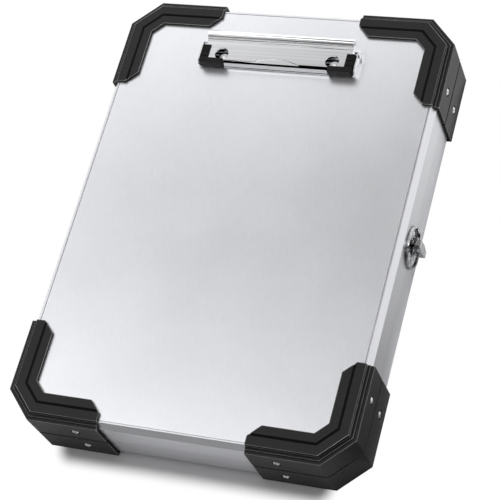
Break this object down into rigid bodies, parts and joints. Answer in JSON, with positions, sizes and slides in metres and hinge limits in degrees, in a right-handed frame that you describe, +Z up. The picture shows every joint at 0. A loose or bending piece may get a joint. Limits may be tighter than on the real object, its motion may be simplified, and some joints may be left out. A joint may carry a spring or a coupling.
{
  "type": "storage clipboard",
  "caption": "Aluminium storage clipboard box with a side-hinged lid, spring paper clip, twist latch and black corner guards.",
  "frame": {"origin": "centre of the overall box at the height that the tray guards' feet stand on", "axes": "+X across the width toward the twist latch, +Y along the length toward the paper clip, +Z up out of the writing face"},
  "size_m": [0.2474, 0.3266, 0.0557],
  "materials": {
    "alu": "satin brushed",
    "panel": "satin brushed",
    "guard": "fine matt moulded",
    "rivet": "bright",
    "hinge": "zinc plated",
    "latch_chrome": "nickel plated",
    "clip_chrome": "nickel plated",
    "spring": "spring wire",
    "grip": "matt"
  },
  "bodies": {
    "tray": {"tray_pan": "alu", "tray_guard_front_left": "guard", "tray_guard_front_right": "guard", "tray_guard_back_left": "guard", "tray_guard_back_right": "guard", "tray_guard_rivets": "rivet", "hinge_tray_leaf": "hinge", "hinge_tray_rivets": "rivet", "hinge_pin": "hinge", "latch_base": "latch_chrome", "latch_base_rivets": "rivet"},
    "lid": {"lid_frame": "alu", "lid_panel": "panel", "lid_guard_front_left": "guard", "lid_guard_front_right": "guard", "lid_guard_back_left": "guard", "lid_guard_back_right": "guard", "lid_guard_rivets": "rivet", "hinge_lid_leaf": "hinge", "hinge_lid_rivets": "rivet", "latch_keeper": "latch_chrome", "latch_keeper_rivets": "rivet", "clip_base": "clip_chrome", "clip_base_rivets": "clip_chrome", "clip_rod": "clip_chrome"},
    "knob": {"latch_hook": "latch_chrome", "latch_knob": "latch_chrome"},
    "clamp": {"clip_clamp": "clip_chrome", "clip_springs": "spring", "clip_grip_left": "grip", "clip_grip_right": "grip"}
  },
  "joints": [
    {"name": "lid_hinge", "type": "hinge", "parent": "tray", "child": "lid", "pos_m": [-0.1215, 0, 0.0235], "axis": [0, -1, 0], "range_deg": [0, 150]},
    {"name": "latch_turn", "type": "hinge", "parent": "tray", "child": "knob", "pos_m": [0.1183, 0, 0.0235], "axis": [1, 0, 0], "range_deg": [0, 90]},
    {"name": "clip_clamp_swing", "type": "hinge", "parent": "lid", "child": "clamp", "pos_m": [-0.0015, 0.1265, 0.0492], "axis": [-1, 0, 0], "range_deg": [0, 24], "stiffness_Nm_per_rad": 0.3, "springref_deg": -28.65}
  ]
}
